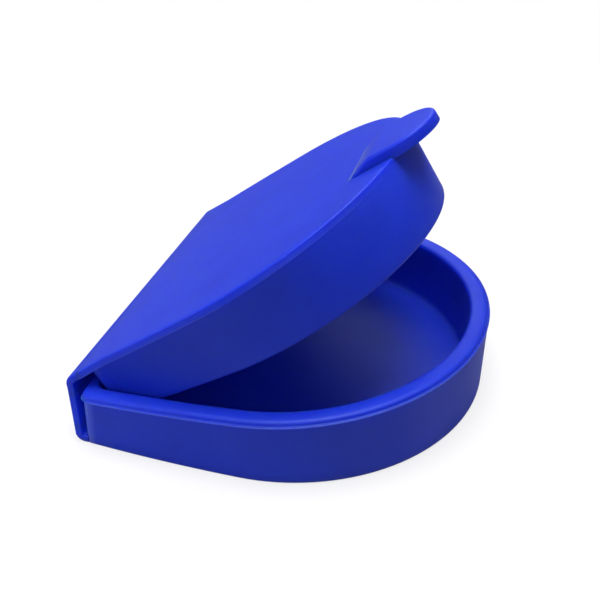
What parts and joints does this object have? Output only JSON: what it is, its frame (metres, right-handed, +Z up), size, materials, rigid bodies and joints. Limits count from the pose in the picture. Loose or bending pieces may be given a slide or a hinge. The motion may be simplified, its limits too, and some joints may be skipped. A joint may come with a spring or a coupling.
{
  "type": "coin purse",
  "caption": "Horseshoe coin purse moulded in silicone rubber: a shallow tray with a plug lid that folds open on a strap at the back and is lifted by a round-ended pull tab.",
  "frame": {"origin": "centre of the round front end, on the flat underside of the tray", "axes": "+X across the purse, -Y towards the round front and the pull tab, +Y towards the hinge strap, +Z up"},
  "size_m": [0.086, 0.081, 0.0619],
  "materials": {
    "silicone": "matte"
  },
  "bodies": {
    "tray": {"tray_floor": "silicone", "tray_wall": "silicone"},
    "strap": {"lower_hinge_web": "silicone", "spine": "silicone", "upper_hinge_web": "silicone"},
    "lid": {"lid_plate": "silicone", "lid_skirt": "silicone", "pull_tab": "silicone"}
  },
  "joints": [
    {"name": "spine_fold", "type": "hinge", "parent": "tray", "child": "strap", "pos_m": [0, 0.0353, 0.0008], "axis": [-1, 0, 0], "range_deg": [-9.98, 42.1], "stiffness_Nm_per_rad": 0.05, "springref_deg": 6.36, "deforming": ["lower_hinge_web"]},
    {"name": "lid_swing", "type": "hinge", "parent": "strap", "child": "lid", "pos_m": [0, 0.03748, 0.01316], "axis": [-1, 0, 0], "range_deg": [-21.8, 92], "stiffness_Nm_per_rad": 0.05, "springref_deg": 6.85, "deforming": ["upper_hinge_web"]}
  ],
  "couplings": [
    {"joint": "spine_fold", "follows": "lid_swing", "ratio": 0.4576}
  ]
}
